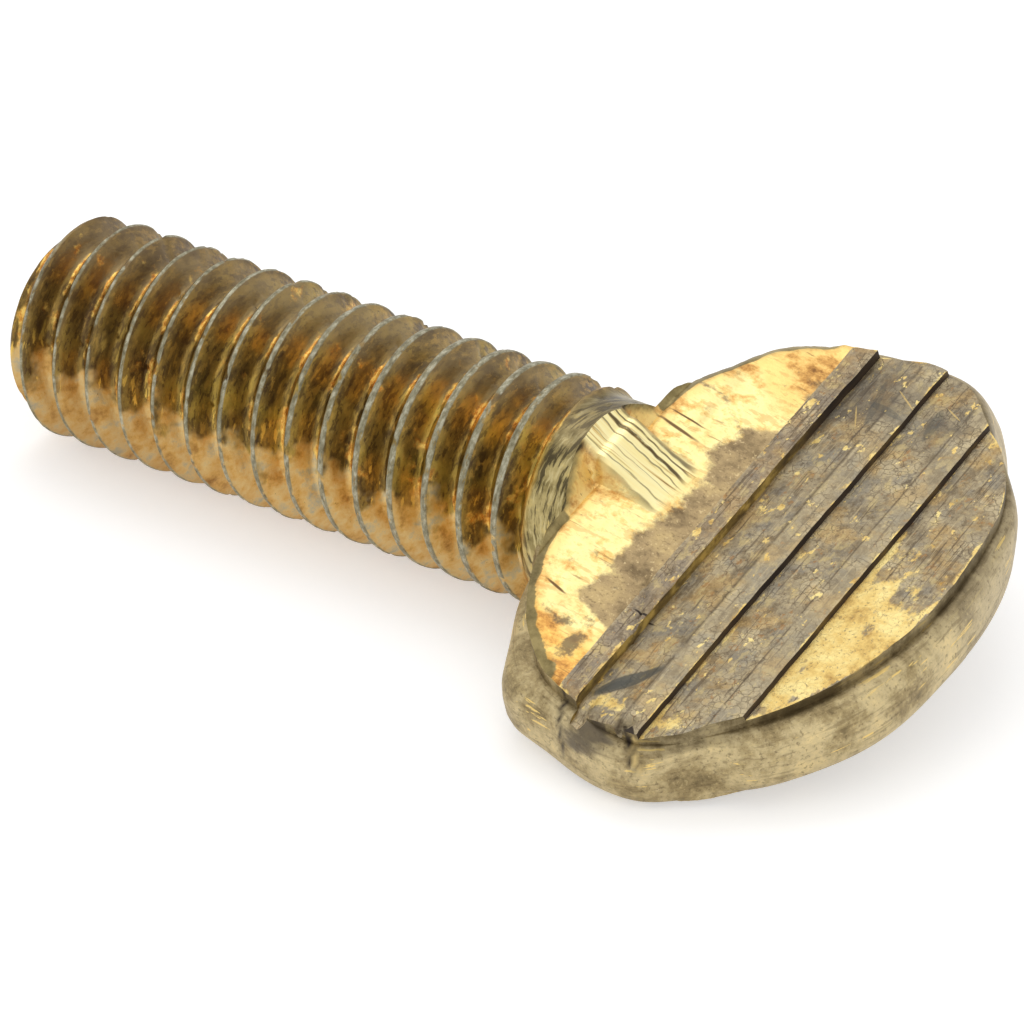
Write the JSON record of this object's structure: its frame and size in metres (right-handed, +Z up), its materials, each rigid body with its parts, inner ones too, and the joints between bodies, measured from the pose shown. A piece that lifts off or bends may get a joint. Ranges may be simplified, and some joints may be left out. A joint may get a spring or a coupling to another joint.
{
  "type": "thumb screw",
  "caption": "Forged brass thumb screw: coarse threaded shank, plain neck and a flat rounded spade head with grip ribs on both faces.",
  "frame": {"origin": "on the screw's axis, where the thread ends and the plain neck begins", "axes": "+X along the screw's axis towards the head, +Y across the shank, +Z up with the screw lying as it comes to rest on its thread and one wing"},
  "size_m": [0.0367, 0.021, 0.008],
  "materials": {
    "brass": "forged and thread-cut brass, aged: dull brown patina with bright gold wear"
  },
  "bodies": {
    "root": {"thumb_screw": "brass"}
  },
  "joints": []
}
